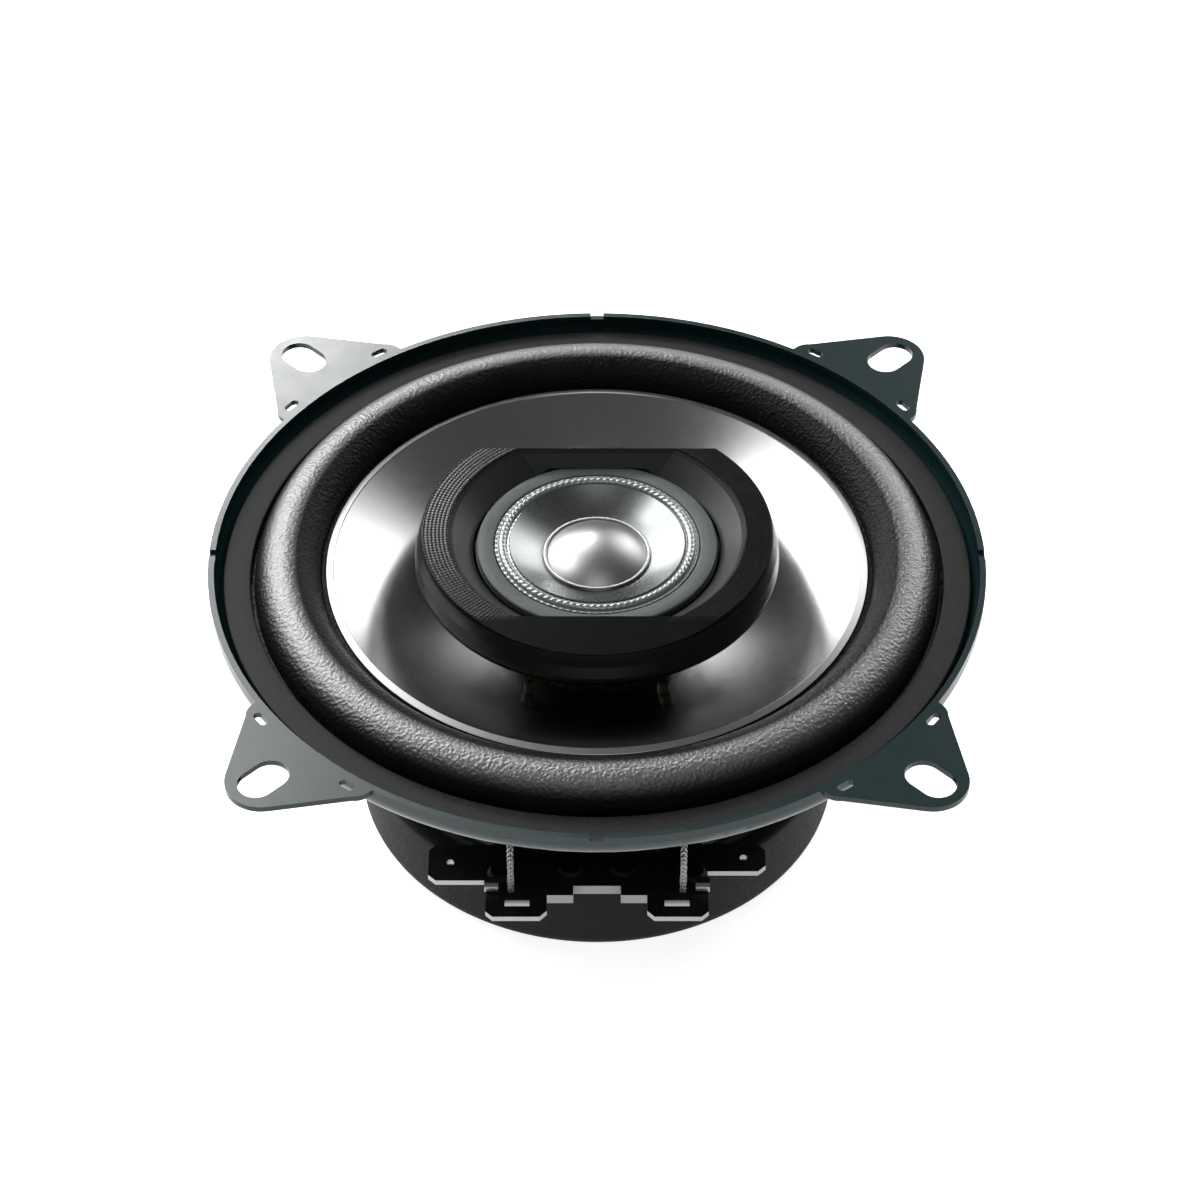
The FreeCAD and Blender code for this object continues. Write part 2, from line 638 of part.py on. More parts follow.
def terminal_board():
    """Hard paper board on the basket's tongue; its front edge is stepped back in the middle."""
    half = BOARD_HALF
    inner = RIVET_Y + 4.0
    body = plate([(-half, BOARD_FRONT), (-3.05, BOARD_FRONT), (-3.05, -36.8), (3.05, -36.8), (3.05, BOARD_FRONT),
                  (half, BOARD_FRONT), (half, -33.0), (half - 3, inner), (3 - half, inner), (-half, -33.0)],
                 FLOOR_Z, BOARD_TOP)
    holes = [disc(1.1, FLOOR_Z - 1, BOARD_TOP + 1, s * RIVET_X, RIVET_Y) for s in SIDES]
    tab_holes = [disc(1.0, FLOOR_Z - 1, BOARD_TOP + 1, s * TAB_RIVET_X, TAB_RIVET_Y) for s in SIDES]
    return body.cut(holes + tab_holes + wire_holes())


def terminal(blade_front, blade_width):
    """Right-hand terminal: a solder lug at the front and a flat blade that points sideways."""
    front = LUG_FRONT
    lug = plate([(6.4, -37.2), (6.4, front + 1.0), (7.3, front), (13.3, front), (14.2, front + 0.9), (14.2, -37.2)],
                BOARD_TOP, BOARD_TOP + TAB_T)
    slot = box((8.6, front + 1.8, BOARD_TOP - 1), (11.8, front + 2.5, BOARD_TOP + 2))
    lip = box((8.6, front + 2.5, BOARD_TOP + TAB_T), (11.8, front + 2.9, BOARD_TOP + TAB_T + 0.35))
    neck = plate([(10.2, -37.2), (14.2, -37.2), (14.2, blade_front + blade_width), (10.2, blade_front + blade_width)],
                 BOARD_TOP, BOARD_TOP + TAB_T)
    back = blade_front + blade_width
    blade = plate([(14.2, blade_front), (BLADE_END - 1.0, blade_front), (BLADE_END, blade_front + 1.0),
                   (BLADE_END, back - 1.0), (BLADE_END - 1.0, back), (14.2, back)], BOARD_TOP, BOARD_TOP + TAB_T)
    dimple = disc(0.5, BOARD_TOP - 1, BOARD_TOP + 2, 18.9, blade_front + blade_width / 2)
    body = fused([lug, lip, neck, blade, crimp()])
    rivet = disc(1.0, BOARD_TOP - 1, BOARD_TOP + 2, TAB_RIVET_X, TAB_RIVET_Y)
    return body.cut([slot, dimple, rivet])


def crimp():
    """Open barrel on the lug that grips the braided lead."""
    barrel = Part.makeCylinder(0.95, 1.8, V(LEAD_X + 1.6, -37.9, BOARD_TOP + TAB_T + 0.7), V(1, 0, 0))
    bore = Part.makeCylinder(0.5, 4, V(LEAD_X + 1, -37.9, BOARD_TOP + TAB_T + 0.7), V(1, 0, 0))
    return barrel.cut(bore)


def positive_terminal():
    return mirrored(terminal(-36.6, 6.3))


def negative_terminal():
    return terminal(-35.0, 4.8)


def terminal_rivets():
    """Two rivets hold the board on the tongue, and two hold the terminals on the board."""
    rivets = []
    for s in SIDES:
        rivets.append(rivet(s * RIVET_X, RIVET_Y, 1.1, FLOOR_Z - SHEET, BOARD_TOP))
        rivets.append(rivet(s * TAB_RIVET_X, TAB_RIVET_Y, 1.0, FLOOR_Z, BOARD_TOP + TAB_T))
    return rivets


def rivet(x, y, radius, bottom, top):
    shank = disc(radius, bottom, top, x, y)
    head = Part.makeCone(radius + 0.7, radius + 0.3, 0.5, V(x, y, top))
    tail = Part.makeCone(radius + 0.3, radius + 0.6, 0.4, V(x, y, bottom - 0.4))
    return fused([shank, head, tail])


def crossover_capacitor():
    """Small can that blocks bass from the tweeter, lying on the basket floor."""
    can = Part.makeCylinder(2.5, 11.0, V(-5.5, -26.2, FLOOR_Z + 2.5), V(1, 0, 0))
    ends = [e for e in can.Edges if e.Closed]
    return can.makeFillet(0.4, ends)


def capacitor_leads():
    """Two bare wires from the can's ends to the board."""
    wires = []
    high = FLOOR_Z + 2.5
    for s in SIDES:
        points = [(s * 5.5, -26.2, high), (s * 7.8, -26.2, high), (s * 7.8, -28.2, high),
                  (s * 7.8, -30.6, high), (s * 7.8, -30.6, BOARD_TOP)]
        wires.append(wire_along(points, 0.25))
    return wires


def tinsel_lead(side):
    """Braided lead from the cone, through a window, down to its lug."""
    x, y, z = eyelet_spot(side)
    points = [(x, y, z + 0.4), (x, y, z - 4.0), (side * 9.6, y - 5.0, z - 6.4), (side * 10.6, -30.0, z - 5.6),
              (side * LEAD_X, -36.2, z - 6.0), (side * LEAD_X, -38.4, z - 9.8), (side * LEAD_X, -38.4, BOARD_TOP + TAB_T)]
    return wire_along(points, LEAD_R)


# ---- output ----

PARTS = {
    "basket": basket,
    "basket_rivets": basket_rivets,
    "front_gasket": front_gasket,
    "top_plate": top_plate,
    "magnet": magnet,
    "yoke": yoke,
    "magnet_cover": magnet_cover,
    "surround": surround,
    "woofer_cone": woofer_cone,
    "voice_coil_former": voice_coil_former,
    "voice_coil": voice_coil,
    "spider": spider,
    "lead_eyelets": lead_eyelets,
    "positive_tinsel_lead": lambda: tinsel_lead(-1),
    "negative_tinsel_lead": lambda: tinsel_lead(1),
    "terminal_board": terminal_board,
    "positive_terminal": positive_terminal,
    "negative_terminal": negative_terminal,
    "terminal_rivets": terminal_rivets,
    "crossover_capacitor": crossover_capacitor,
    "capacitor_leads": capacitor_leads,
    "tweeter_post": tweeter_post,
    "post_screw": post_screw,
    "post_washer": post_washer,
    "tweeter_housing": tweeter_housing,
    "tweeter_bezel": tweeter_bezel,
    "tweeter_frame": tweeter_frame,
    "tweeter_gasket": tweeter_gasket,
    "tweeter_surround": tweeter_surround,
    "tweeter_cone": tweeter_cone,
    "tweeter_dome": tweeter_dome,
    "tweeter_coil_former": tweeter_coil_former,
    "tweeter_voice_coil": tweeter_voice_coil,
    "tweeter_yoke": tweeter_yoke,
    "tweeter_magnet": tweeter_magnet,
    "tweeter_pole_plate": tweeter_pole_plate,
    "tweeter_leads": tweeter_leads,
}


def write(name, made):
    """Turns one part into the speaker's frame and writes it."""
    shapes = made if isinstance(made, list) else [made]
    solids = [solid for shape in shapes for solid in shape.Solids]
    for solid in solids:
        if not solid.isValid() or solid.Volume <= 0:
            raise ValueError(f"{name} has a bad solid")
    whole = solids[0] if len(solids) == 1 else Part.makeCompound(solids)
    around(whole, TERMINAL_TURN).exportStep(f"parts/{name}.step")
    size = whole.optimalBoundingBox(False)
    print(f"{name}: {len(solids)} solid(s), {whole.Volume:.1f} mm3, z {size.ZMin:.2f} to {size.ZMax:.2f}")


os.makedirs("parts", exist_ok=True)
for part_name, make in PARTS.items():
    write(part_name, make())
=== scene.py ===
"""Looks of the coaxial car speaker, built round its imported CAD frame."""

import math
from collections import namedtuple

import bmesh
import bpy
from mathutils import Matrix, Vector


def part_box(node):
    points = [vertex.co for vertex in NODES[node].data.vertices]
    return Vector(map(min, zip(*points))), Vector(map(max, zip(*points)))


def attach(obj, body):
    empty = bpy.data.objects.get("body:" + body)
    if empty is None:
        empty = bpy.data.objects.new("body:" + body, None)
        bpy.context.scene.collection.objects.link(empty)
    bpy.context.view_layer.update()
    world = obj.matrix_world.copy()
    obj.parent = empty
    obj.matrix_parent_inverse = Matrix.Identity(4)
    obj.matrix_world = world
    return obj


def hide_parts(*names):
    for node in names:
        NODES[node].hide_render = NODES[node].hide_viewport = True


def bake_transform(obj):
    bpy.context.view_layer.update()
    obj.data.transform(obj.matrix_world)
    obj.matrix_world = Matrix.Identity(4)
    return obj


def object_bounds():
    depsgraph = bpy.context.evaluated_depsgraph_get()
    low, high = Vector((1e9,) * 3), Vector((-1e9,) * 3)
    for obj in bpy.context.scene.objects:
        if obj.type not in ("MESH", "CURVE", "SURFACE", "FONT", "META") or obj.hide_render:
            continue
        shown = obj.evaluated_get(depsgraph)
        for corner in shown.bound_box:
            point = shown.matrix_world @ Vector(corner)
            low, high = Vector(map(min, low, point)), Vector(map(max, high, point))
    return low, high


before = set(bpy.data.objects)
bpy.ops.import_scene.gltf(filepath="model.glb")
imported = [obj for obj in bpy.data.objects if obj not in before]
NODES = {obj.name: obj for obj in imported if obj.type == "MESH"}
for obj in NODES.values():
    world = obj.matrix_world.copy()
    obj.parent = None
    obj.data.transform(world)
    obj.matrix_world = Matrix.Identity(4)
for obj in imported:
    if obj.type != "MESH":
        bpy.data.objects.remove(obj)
cad_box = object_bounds()

MM = 0.001
TAU = 2 * math.pi
TERMINAL_TURN = math.radians(45)   # the terminals point between +X and -Y

Extent = namedtuple("Extent", "outer low high")


# ---- places, read from the frame ----

def extent(node):
    """Outer radius, lowest and highest Z of a round CAD node, in millimetres."""
    low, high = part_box(node)
    return Extent(high.x / MM, low.z / MM, high.z / MM)


def seen(x, y, z):
    """A point given as right, away and up from the terminal side, turned into the frame."""
    return Matrix.Rotation(TERMINAL_TURN, 4, "Z") @ Vector((x, y, z))


# ---- mesh helpers ----

def link(name, mesh, body):
    """A new piece; it rides on its body, or on none if no body is given."""
    piece = bpy.data.objects.new(name, mesh)
    bpy.context.scene.collection.objects.link(piece)
    if body:
        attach(piece, body)
    return piece


def smooth(mesh, angle):
    """Smooth shading, with the edges sharper than angle kept crisp."""
    edit = bmesh.new()
    edit.from_mesh(mesh)
    limit = math.radians(angle)
    for face in edit.faces:
        face.smooth = True
    for edge in edit.edges:
        sharp = len(edge.link_faces) == 2 and edge.calc_face_angle(0) > limit
        edge.smooth = not sharp
    edit.to_mesh(mesh)
    edit.free()


def rounded(points, radius, steps):
    """The corners of a closed outline rounded off, by one radius or one for each corner."""
    most_of_side = 0.45
    least_reach = 1e-4
    nearly_straight = 0.999
    out = []
    count = len(points)
    for i, (x, y) in enumerate(points):
        here = Vector((x, y))
        back = Vector(points[i - 1]) - here
        on = Vector(points[(i + 1) % count]) - here
        r = radius[i] if isinstance(radius, list) else radius
        reach = min(r, back.length * most_of_side, on.length * most_of_side)
        start, end = here + back.normalized() * reach, here + on.normalized() * reach
        if reach < least_reach or abs(back.normalized().dot(on.normalized())) > nearly_straight:
            out.append((x, y))
            continue
        for k in range(steps + 1):
            t = k / steps
            p = start * (1 - t) ** 2 + here * 2 * t * (1 - t) + end * t ** 2
            out.append((p.x, p.y))
    return out


def thick(line, t):
    """A closed section from a middle line and a thickness."""
    left, right = [], []
    for i, (x, z) in enumerate(line):
        a = Vector(line[max(i - 1, 0)])
        b = Vector(line[min(i + 1, len(line) - 1)])
        way = (b - a).normalized()
        left.append((x - way.y * t / 2, z + way.x * t / 2))
        right.append((x + way.y * t / 2, z - way.x * t / 2))
    return left + right[::-1]


def clean(edit):
    """Points on the axis merged, empty faces dropped and normals turned outwards."""
    same_place = 1e-8
    no_area = 1e-14
    bmesh.ops.remove_doubles(edit, verts=edit.verts, dist=same_place)
    flat = [f for f in edit.faces if f.calc_area() < no_area]
    bmesh.ops.delete(edit, geom=flat, context="FACES_ONLY")
    bmesh.ops.recalc_face_normals(edit, faces=edit.faces)


def lathe(name, section, body, segments, ripple=None, crisp=35):
    """A closed section (radius, z) in millimetres turned about Z; ripple moves a point by angle."""
    edit = bmesh.new()
    rings = []
    for k in range(segments):
        angle = TAU * k / segments
        ring = []
        for r, z in section:
            if ripple:
                r, z = ripple(r, z, angle)
            ring.append(edit.verts.new((r * MM * math.cos(angle), r * MM * math.sin(angle), z * MM)))
        rings.append(ring)
    count = len(section)
    for k in range(segments):
        a, b = rings[k], rings[(k + 1) % segments]
        for i in range(count):
            j = (i + 1) % count
            edit.faces.new((a[i], b[i], b[j], a[j]))
    clean(edit)
    mesh = bpy.data.meshes.new(name)
    edit.to_mesh(mesh)
    edit.free()
    smooth(mesh, crisp)
    return link(name, mesh, body)


# ---- material helpers ----

class Nodes:
    """Short names for building one node material. Lengths are in metres."""

    def __init__(self, name):
        self.material = bpy.data.materials.new(name)
        self.material.use_nodes = True
        self.tree = self.material.node_tree
        self.shader = self.tree.nodes["Principled BSDF"]
        self.place = self.add("ShaderNodeTexCoord").outputs["Object"]

    def add(self, kind, **settings):
        node = self.tree.nodes.new(kind)
        for key, value in settings.items():
            setattr(node, key, value)
        return node

    def join(self, source, target):
        self.tree.links.new(source, target)

    def fill(self, socket, value):
        """A socket takes another node's output, or a plain value."""
        if hasattr(value, "is_output"):
            self.join(value, socket)
        else:
            socket.default_value = value

    def fill_color(self, socket, value):
        self.fill(socket, value if hasattr(value, "is_output") else (*value, 1))

    def math(self, operation, a, b=0.0):
        node = self.add("ShaderNodeMath", operation=operation)
        for socket, value in zip(node.inputs, (a, b)):
            self.fill(socket, value)
        return node.outputs[0]

    def noise(self, scale, detail=3.0, roughness=0.55, stretch=None):
        node = self.add("ShaderNodeTexNoise")
        place = self.place
        if stretch:
            turn = self.add("ShaderNodeMapping")
            turn.inputs["Scale"].default_value = stretch
            self.join(place, turn.inputs["Vector"])
            place = turn.outputs[0]
        self.join(place, node.inputs["Vector"])
        node.inputs["Scale"].default_value = scale
        node.inputs["Detail"].default_value = detail
        node.inputs["Roughness"].default_value = roughness
        return node.outputs[0]

    def cells(self, scale, feature="F1"):
        node = self.add("ShaderNodeTexVoronoi", feature=feature)
        self.join(self.place, node.inputs["Vector"])
        node.inputs["Scale"].default_value = scale
        return node.outputs["Distance"]

    def spread(self, value, low, high, to_low, to_high):
        """The span from low to high mapped to another span, and held at its ends."""
        node = self.add("ShaderNodeMapRange")
        node.clamp = True
        ends = {"From Min": low, "From Max": high, "To Min": to_low, "To Max": to_high}
        for key, number in ends.items():
            node.inputs[key].default_value = number
        self.join(value, node.inputs["Value"])
        return node.outputs["Result"]

    def vary(self, noise, low=0.0, high=1.0):
        """A noise spread over a span; nearly all of a noise lies between 0.3 and 0.7."""
        return self.spread(noise, 0.3, 0.7, low, high)

    def past(self, value, edge, width=0.0001):
        """0 below an edge and 1 above it."""
        return self.spread(value, edge, edge + width, 0.0, 1.0)

    def short_of(self, value, edge, width=0.0001):
        """1 below an edge and 0 above it."""
        return self.spread(value, edge, edge + width, 1.0, 0.0)

    def blend(self, factor, a, b):
        node = self.add("ShaderNodeMix", data_type="RGBA")
        self.fill(node.inputs["Factor"], factor)
        color_a, color_b = node.inputs[6], node.inputs[7]
        self.fill_color(color_a, a)
        self.fill_color(color_b, b)
        return node.outputs[2]

    def axes(self):
        """X, Y and Z of the place, by name."""
        split = self.add("ShaderNodeSeparateXYZ")
        self.join(self.place, split.inputs[0])
        return split.outputs

    def radius(self):
        """Distance from the speaker's axis."""
        place = self.axes()
        x_squared = self.math("MULTIPLY", place["X"], place["X"])
        y_squared = self.math("MULTIPLY", place["Y"], place["Y"])
        return self.math("SQRT", self.math("ADD", x_squared, y_squared))

    def facing_up(self):
        """1 where the surface faces up, 0 where it is upright, -1 where it faces down."""
        split = self.add("ShaderNodeSeparateXYZ")
        self.join(self.add("ShaderNodeNewGeometry").outputs["True Normal"], split.inputs[0])
        return split.outputs["Z"]

    def worn_edges(self):
        """Near 1 on sharp outer edges, 0 elsewhere."""
        geometry = self.add("ShaderNodeNewGeometry")
        return self.spread(geometry.outputs["Pointiness"], 0.52, 0.6, 0.0, 1.0)

    def bump(self, height, distance, strength=1.0):
        node = self.add("ShaderNodeBump")
        node.inputs["Strength"].default_value = strength
        node.inputs["Distance"].default_value = distance
        self.join(height, node.inputs["Height"])
        return node.outputs[0]

    def finish(self, color, roughness, metallic=0.0, normal=None, specular=0.5, **more):
        self.fill_color(self.shader.inputs["Base Color"], color)
        self.fill(self.shader.inputs["Roughness"], roughness)
        self.fill(self.shader.inputs["Metallic"], metallic)
        self.fill(self.shader.inputs["Specular IOR Level"], specular)
        if normal:
            self.join(normal, self.shader.inputs["Normal"])
        for key, value in more.items():
            self.fill(self.shader.inputs[key.replace("_", " ")], value)
        return self.material


def dressed(name, dark, light, roughness, grain, depth, metallic=0.0, specular=0.5, wear=None, **more):
    """A material with colour variation, uneven gloss, a fine grain and, with wear, rubbed edges."""
    n = Nodes(name)
    cloud = n.noise(90, detail=4)
    fine = n.noise(grain, detail=4, roughness=0.6)
    color = n.blend(n.vary(cloud), dark, light)
    if wear:
        rubbed = n.spread(n.noise(900), 0.4, 0.6, 0.3, 1.0)
        color = n.blend(n.math("MULTIPLY", n.worn_edges(), rubbed), color, wear)
    return n.finish(color, n.vary(fine, *roughness), metallic, n.bump(fine, depth), specular, **more)


# ---- materials ----

def basket_paint():
    """Satin teal-black paint with a very slight orange peel."""
    n = Nodes("basket_paint")
    peel = n.noise(420, detail=2, roughness=0.4)
    tone = n.blend(n.vary(n.noise(60)), (0.005, 0.016, 0.017), (0.007, 0.021, 0.022))
    return n.finish(tone, n.vary(peel, 0.21, 0.24), normal=n.bump(peel, 0.00001, 0.1), specular=0.38)


def surround_rubber(crest):
    """Black rubber with a fine pebbled grain, a painted highlight on its crest (a paler speckled band)
    and dull on both flanks.
    """
    n = Nodes("surround_rubber")
    radius = n.radius()
    pebbles = n.cells(2300, "SMOOTH_F1")
    fine = n.noise(3600, roughness=0.6)
    height = n.math("ADD", n.math("MULTIPLY", pebbles, 0.6), n.math("MULTIPLY", fine, 0.4))
    off_crest = n.math("ABSOLUTE", n.math("SUBTRACT", radius, crest + 0.0012))
    near_crest = n.spread(off_crest, 0.0002, 0.0021, 1.0, 0.0)
    # painted highlight: a paler speckled band along the crest stands in for the light on it
    crest_painted_highlight = n.math("MULTIPLY", near_crest, n.vary(fine, 0.4, 1.0))
    tone = n.blend(n.vary(n.noise(140)), (0.003, 0.003, 0.003), (0.006, 0.006, 0.006))
    tone = n.blend(crest_painted_highlight, tone, (0.075, 0.075, 0.075))
    gloss = n.spread(fine, 0.25, 0.75, 0.3, 0.42)
    inner = n.spread(radius, crest - 0.0012, crest + 0.0006, 0.04, 1.0)
    outer = n.spread(radius, crest + 0.0020, crest + 0.0038, 1.0, 0.1)
    return n.finish(tone, gloss, normal=n.bump(height, 0.00026, 0.8),
                    specular=n.math("MULTIPLY", inner, outer), IOR=1.68)


def gasket_fibre():
    """Pressed grey fibre: short matted hairs and specks."""
    n = Nodes("gasket_fibre")
    hairs = n.noise(2400, detail=6, roughness=0.75)
    specks = n.spread(n.cells(3400), 0.0, 0.2, 1.0, 0.0)
    matted = n.spread(hairs, 0.35, 0.65, 0.0, 1.0)
    tone = n.blend(matted, (0.006, 0.0063, 0.0065), (0.018, 0.0185, 0.019))
    tone = n.blend(n.math("MULTIPLY", specks, 0.3), tone, (0.11, 0.11, 0.11))
    return n.finish(tone, n.vary(hairs, 0.5, 0.6), normal=n.bump(hairs, 0.00005, 0.5), specular=0.15)


def cone_silver(edge_radius):
    """Metallised cone: smooth silver in front with a duller flat edge, dark fibre behind."""
    n = Nodes("cone_silver")
    edge = n.past(n.radius(), edge_radius - 0.0010)
    silver = n.blend(n.vary(n.noise(45, detail=2)), (0.35, 0.35, 0.345), (0.385, 0.385, 0.38))
    silver = n.blend(edge, silver, (0.30, 0.30, 0.295))
    cloud = n.noise(700, roughness=0.6)
    gloss = n.math("ADD", n.vary(cloud, 0.19, 0.21), n.math("MULTIPLY", edge, 0.12))
    front = n.past(n.facing_up(), 0.0, 0.1)
    fibre = n.blend(n.noise(1600, detail=5, roughness=0.7), (0.012, 0.012, 0.011), (0.04, 0.04, 0.038))
    gloss = n.math("ADD", gloss, n.spread(front, 0.0, 1.0, 0.45, 0.0))
    return n.finish(n.blend(front, fibre, silver), gloss, front)


def housing_black(inner, outer, level):
    """Black moulding: a finely knurled band between two radii, a duller bowl, and glossy facets."""
    n = Nodes("housing_black")
    knurl = 0.0005
    bowl_depth = 0.0031
    bowl_half_width = 0.0231
    place, radius = n.axes(), n.radius()
    on_top = n.math("MULTIPLY", n.past(place["Z"], level - 0.00006, 0.00003), n.short_of(radius, outer))
    on_band = n.math("MULTIPLY", n.past(radius, inner), on_top)
    across_bowl = n.math("ABSOLUTE", n.math("SUBTRACT", place["Y"], place["X"]))
    in_bowl = n.math("MULTIPLY", n.short_of(radius, inner), n.past(place["Z"], level - bowl_depth))
    in_bowl = n.math("MULTIPLY", in_bowl, n.short_of(across_bowl, bowl_half_width))
    angle = n.math("ARCTAN2", place["Y"], place["X"])
    rows = n.math("PINGPONG", n.math("DIVIDE", radius, knurl / 2), 1.0)
    columns = n.math("PINGPONG", n.math("MULTIPLY", angle, (inner + outer) / knurl), 1.0)
    diamond = n.math("MULTIPLY", n.math("ADD", rows, columns), on_band)
    tone = n.blend(n.vary(n.noise(120)), (0.0025, 0.003, 0.003), (0.005, 0.006, 0.006))
    tone = n.blend(in_bowl, tone, (0.026, 0.028, 0.0275))
    fine = n.noise(1900, roughness=0.5)
    gloss = n.math("ADD", n.vary(fine, 0.2, 0.26), n.math("MULTIPLY", on_band, -0.06))
    gloss = n.math("ADD", gloss, n.math("MULTIPLY", in_bowl, 0.1))
    shine = n.math("ADD", n.math("MULTIPLY", on_band, 0.12),
                   n.spread(place["Z"], level - 0.0006, level - 0.0005, 0.3, 0.06))
    return n.finish(tone, gloss, normal=n.bump(diamond, 0.00002, 0.4), specular=shine)


def foam_ring():
    return dressed("foam_ring", (0.034, 0.044, 0.040), (0.055, 0.068, 0.063), roughness=(0.4, 0.6),
                   grain=3600, depth=0.00004, specular=0.4)


def ribbed_film():
    return dressed("ribbed_film", (0.16, 0.18, 0.175), (0.26, 0.29, 0.28), roughness=(0.14, 0.25),
                   grain=2800, depth=0.00001, metallic=0.35, specular=0.7, Coat_Weight=0.5)


def bright_foil():
    """Bright film, slightly wavy and uneven in gloss."""
    n = Nodes("bright_foil")
    waves = n.noise(260, detail=2, roughness=0.5)
    tone = n.blend(n.vary(waves), (0.18, 0.19, 0.19), (0.21, 0.22, 0.22))
    return n.finish(tone, n.vary(n.noise(900), 0.26, 0.29), 1.0, n.bump(waves, 0.00004, 0.12))


def dome_silver():
    return dressed("dome_silver", (0.28, 0.28, 0.275), (0.33, 0.33, 0.325), roughness=(0.34, 0.4),
                   grain=2600, depth=0.000008, metallic=1.0)


def cover_rubber():
    return dressed("cover_rubber", (0.0045, 0.0048, 0.005), (0.008, 0.0083, 0.0087),
                   roughness=(0.5, 0.64), grain=1700, depth=0.00003, specular=0.14)


def plated_steel():
    return dressed("plated_steel", (0.30, 0.30, 0.295), (0.38, 0.38, 0.37), roughness=(0.3, 0.4),
                   grain=1500, depth=0.000004, metallic=1.0)


# Rivets painted near black: painted shade for the shadow they sit in.
def steel_in_painted_shade():
    return dressed("steel_in_painted_shade", (0.012, 0.012, 0.013), (0.03, 0.03, 0.031), roughness=(0.3, 0.45),
                   grain=1700, depth=0.00001, metallic=0.8)


def ferrite():
    return dressed("ferrite", (0.012, 0.012, 0.013), (0.03, 0.03, 0.031), roughness=(0.5, 0.75),
                   grain=1400, depth=0.00005)


def board_paper():
    """Hard paper board: dark flat faces; its upright sawn sides painted pale with layers, a painted
    highlight.
    """
    n = Nodes("board_paper")
    # painted highlight: the upright sides are pale, standing for light falling on them from the front
    cut = n.spread(n.math("ABSOLUTE", n.facing_up()), 0.4, 0.6, 1.0, 0.0)
    layers = n.noise(500, roughness=0.6, stretch=(0.4, 0.4, 12))
    pale = n.blend(layers, (0.24, 0.245, 0.25), (0.40, 0.41, 0.415))
    dark = n.blend(n.noise(700, detail=4), (0.004, 0.004, 0.004), (0.012, 0.012, 0.012))
    grain = n.bump(n.noise(2200), 0.00004, 0.5)
    return n.finish(n.blend(cut, dark, pale), 0.55, normal=grain, specular=0.35)


def terminal_tin():
    """Tin plate painted by facing: flat faces dark as painted shade, upright stamped edges pale as a
    painted highlight.
    """
    n = Nodes("terminal_tin")
    # painted light: upright faces painted bright and flat faces dark, standing for light from the front
    cut = n.spread(n.math("ABSOLUTE", n.facing_up()), 0.3, 0.9, 1.0, 0.0)
    brushed = n.noise(700, roughness=0.6, stretch=(6, 0.5, 1))
    face = n.blend(brushed, (0.03, 0.03, 0.031), (0.06, 0.06, 0.062))
    edge = n.blend(brushed, (0.3, 0.3, 0.295), (0.45, 0.45, 0.445))
    gloss = n.vary(brushed, 0.28, 0.45)
    return n.finish(n.blend(cut, face, edge), gloss, 0.9, n.bump(brushed, 0.000015, 0.5))


def tinsel_braid():
    return dressed("tinsel_braid", (0.22, 0.22, 0.22), (0.42, 0.42, 0.41), roughness=(0.3, 0.45),
                   grain=4200, depth=0.00003, metallic=0.9)


def spider_cloth():
    """Woven cloth stiffened with amber resin."""
    n = Nodes("spider_cloth")
    thread_pitch = 0.0005
    place = n.axes()
    warp = n.math("SINE", n.math("MULTIPLY", place["X"], TAU / thread_pitch))
    weft = n.math("SINE", n.math("MULTIPLY", place["Y"], TAU / thread_pitch))
    weave = n.math("MULTIPLY", warp, weft)
    tone = n.blend(n.spread(weave, -1, 1, 0.0, 1.0), (0.22, 0.13, 0.04), (0.42, 0.28, 0.11))
    tone = n.blend(n.math("MULTIPLY", n.noise(300, detail=4), 0.5), tone, (0.16, 0.09, 0.03))
    return n.finish(tone, 0.6, normal=n.bump(weave, 0.00006, 0.6), specular=0.4)


def moulded_black():
    return dressed("moulded_black", (0.008, 0.008, 0.009), (0.016, 0.016, 0.017), roughness=(0.4, 0.6),
                   grain=1600, depth=0.00003)


def copper_wire():
    """Enamelled copper, with the turns of the winding."""
    n = Nodes("copper_wire")
    wire_pitch = 0.00022
    turns = n.math("ABSOLUTE", n.math("SINE", n.math("MULTIPLY", n.axes()["Z"], math.pi / wire_pitch)))
    tone = n.blend(turns, (0.16, 0.04, 0.012), (0.55, 0.2, 0.07))
    return n.finish(tone, 0.28, 0.9, n.bump(turns, 0.00008, 0.8))


def sleeve_film():
    """Dark blue shrink sleeve of the capacitor."""
    n = Nodes("sleeve_film")
    tone = n.blend(n.noise(400), (0.01, 0.02, 0.06), (0.02, 0.04, 0.11))
    return n.finish(tone, n.vary(n.noise(1500), 0.25, 0.4), normal=n.bump(n.noise(800), 0.00003, 0.4))


def brass_in_painted_shade():
    """Eyelets painted near black, a painted shade for the shadow under the cone, with a little brass
    showing at their rubbed edges.
    """
    return dressed("brass_in_painted_shade", (0.006, 0.006, 0.006), (0.012, 0.011, 0.010), roughness=(0.35, 0.5),
                   grain=2000, depth=0.00003, wear=(0.10, 0.07, 0.03))


def foil():
    return dressed("foil", (0.5, 0.5, 0.5), (0.65, 0.65, 0.65), roughness=(0.25, 0.4),
                   grain=1500, depth=0.00001, metallic=1.0)


def insulation():
    return dressed("insulation", (0.008, 0.008, 0.008), (0.018, 0.018, 0.018), roughness=(0.35, 0.5),
                   grain=2500, depth=0.00002)


# ---- dressing a piece ----

def wear_material(piece, material):
    piece.data.materials.clear()
    piece.data.materials.append(material)


def stand_for(piece, node, material):
    """The piece takes the place of a CAD node, which is hidden, and wears the given material."""
    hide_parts(node)
    wear_material(piece, material)


